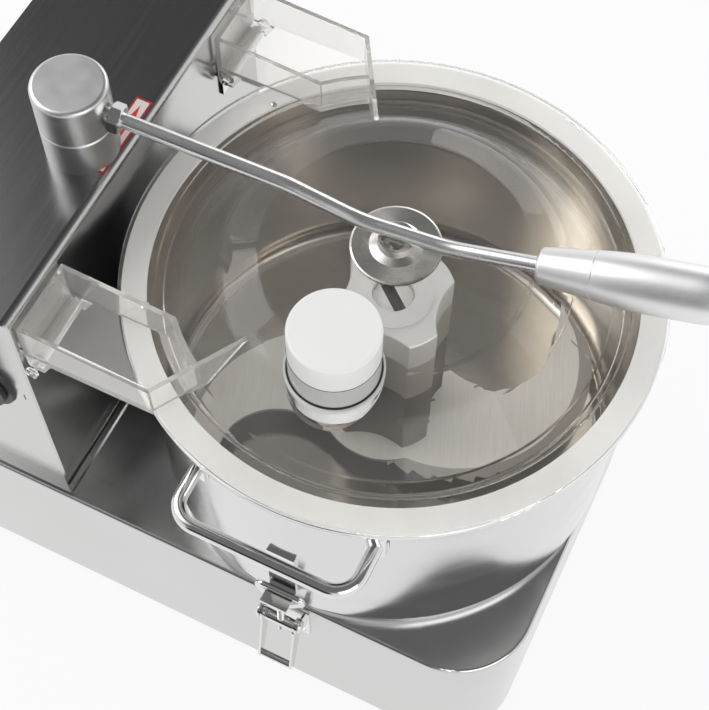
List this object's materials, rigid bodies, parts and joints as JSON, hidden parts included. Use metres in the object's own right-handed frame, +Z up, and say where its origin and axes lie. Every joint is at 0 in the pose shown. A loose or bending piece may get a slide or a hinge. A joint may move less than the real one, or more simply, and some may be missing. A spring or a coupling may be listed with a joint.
{
  "type": "meat bowl cutter",
  "caption": "Bench-top stainless bowl cutter with a rear drive housing, latched bowl, clear hinged lid with feed plug, swinging press lever and serrated S-blade.",
  "frame": {"origin": "middle of the whole footprint on the table", "axes": "+X from the drive housing to the bowl end, +Y away from the operator, +Z up"},
  "size_m": [0.5368, 0.3954, 0.4728],
  "materials": {
    "brushed_sheet": "fine-brushed stainless sheet",
    "polished_steel": "polished stainless",
    "clear_plastic": "clear moulded polycarbonate",
    "white_silicone": "milky silicone",
    "white_plastic": "satin white moulding",
    "grey_plastic": "translucent grey moulding",
    "satin_aluminium": "satin turned aluminium",
    "cast_aluminium": "fine cast, bead-blasted",
    "dark_aluminium": "dark grey cast",
    "blade_steel": "ground blade steel",
    "machine_steel": "plain machined steel",
    "motor_paint": "dark grey enamel",
    "black_plastic": "black moulded plastic",
    "black_rubber": "black rubber",
    "zinc_plate": "zinc-plated steel"
  },
  "bodies": {
    "machine": {"base_shell": "brushed_sheet", "bottom_plate": "zinc_plate", "rubber_feet": "black_rubber", "foot_screws": "zinc_plate", "housing_shell": "brushed_sheet", "rear_cover": "brushed_sheet", "rear_cover_screws": "zinc_plate", "housing_skirt": "brushed_sheet", "cable_gland": "black_plastic", "post_base": "polished_steel", "post_spindle": "machine_steel", "lever_switch": "black_plastic", "bowl": "polished_steel", "bowl_rim": "polished_steel", "front_bowl_handle": "polished_steel", "rear_bowl_handle": "polished_steel", "front_bowl_hook": "polished_steel", "rear_bowl_hook": "polished_steel", "lid": "clear_plastic", "front_lid_ear": "clear_plastic", "rear_lid_ear": "clear_plastic", "lid_gasket": "white_silicone", "pressure_disc": "polished_steel", "hinge_pins": "clear_plastic", "hinge_brackets": "polished_steel", "feed_tube": "grey_plastic", "spindle_bearings": "machine_steel", "bearing_cartridge": "cast_aluminium", "cartridge_bolts": "zinc_plate", "shaft_seal": "black_rubber", "drive_belt": "black_rubber", "motor_plate": "zinc_plate", "motor_stator": "motor_paint", "motor_drive_end": "motor_paint", "motor_fan_end": "motor_paint", "motor_bearings": "machine_steel", "run_capacitor": "black_plastic", "front_latch_base": "polished_steel", "rear_latch_base": "polished_steel", "switch_bezel": "black_plastic", "switch_body": "black_plastic"},
    "press_lever": {"lever_cap": "polished_steel", "lever_locknut": "polished_steel", "lever_rod": "polished_steel", "lever_grip": "satin_aluminium"},
    "feed_plug": {"feed_plug": "white_plastic"},
    "blade_stack": {"spindle_shaft": "machine_steel", "star_nut": "cast_aluminium", "upper_spacer": "dark_aluminium", "middle_spacer": "cast_aluminium", "blade_hub": "dark_aluminium", "s_blade": "blade_steel", "spindle_pulley": "cast_aluminium"},
    "motor_rotor": {"motor_rotor": "machine_steel", "motor_pulley": "cast_aluminium"},
    "front_latch_lever": {"front_latch_lever": "polished_steel"},
    "front_latch_bail": {"front_latch_bail": "polished_steel"},
    "rear_latch_lever": {"rear_latch_lever": "polished_steel"},
    "rear_latch_bail": {"rear_latch_bail": "polished_steel"},
    "switch_knob": {"switch_knob": "black_plastic"}
  },
  "joints": [
    {"name": "lever_swing", "type": "hinge", "parent": "machine", "child": "press_lever", "pos_m": [-0.15348, -0.02, 0.436], "axis": [0, 0, 1], "range_deg": [0, 110]},
    {"name": "blade_spin", "type": "hinge", "parent": "machine", "child": "blade_stack", "pos_m": [0.05852, 0, 0.172], "axis": [0, 0, 1], "continuous": true},
    {"name": "motor_spin", "type": "hinge", "parent": "machine", "child": "motor_rotor", "pos_m": [-0.18528, 0, 0.172], "axis": [0, 0, 1], "continuous": true},
    {"name": "plug_lift", "type": "slide", "parent": "machine", "child": "feed_plug", "axis": [0, 0, 1], "range_m": [0, 0.07]},
    {"name": "knob_turn", "type": "hinge", "parent": "machine", "child": "switch_knob", "pos_m": [-0.16748, -0.1566, 0.308], "axis": [0, -1, 0], "range_deg": [0, 90]},
    {"name": "front_latch_turn", "type": "hinge", "parent": "machine", "child": "front_latch_lever", "pos_m": [0.05852, -0.176, 0.164], "axis": [-1, 0, 0], "range_deg": [0, 120]},
    {"name": "front_bail_turn", "type": "hinge", "parent": "front_latch_lever", "child": "front_latch_bail", "pos_m": [0.05852, -0.1745, 0.15513], "axis": [-1, 0, 0], "range_deg": [-126, 5]},
    {"name": "rear_latch_turn", "type": "hinge", "parent": "machine", "child": "rear_latch_lever", "pos_m": [0.05852, 0.176, 0.164], "axis": [1, 0, 0], "range_deg": [0, 120]},
    {"name": "rear_bail_turn", "type": "hinge", "parent": "rear_latch_lever", "child": "rear_latch_bail", "pos_m": [0.05852, 0.1745, 0.15513], "axis": [1, 0, 0], "range_deg": [-126, 5]}
  ],
  "couplings": [
    {"joint": "motor_spin", "follows": "blade_spin", "ratio": 1.5},
    {"joint": "front_bail_turn", "follows": "front_latch_turn", "ratio": -1.045},
    {"joint": "rear_bail_turn", "follows": "rear_latch_turn", "ratio": -1.045}
  ]
}
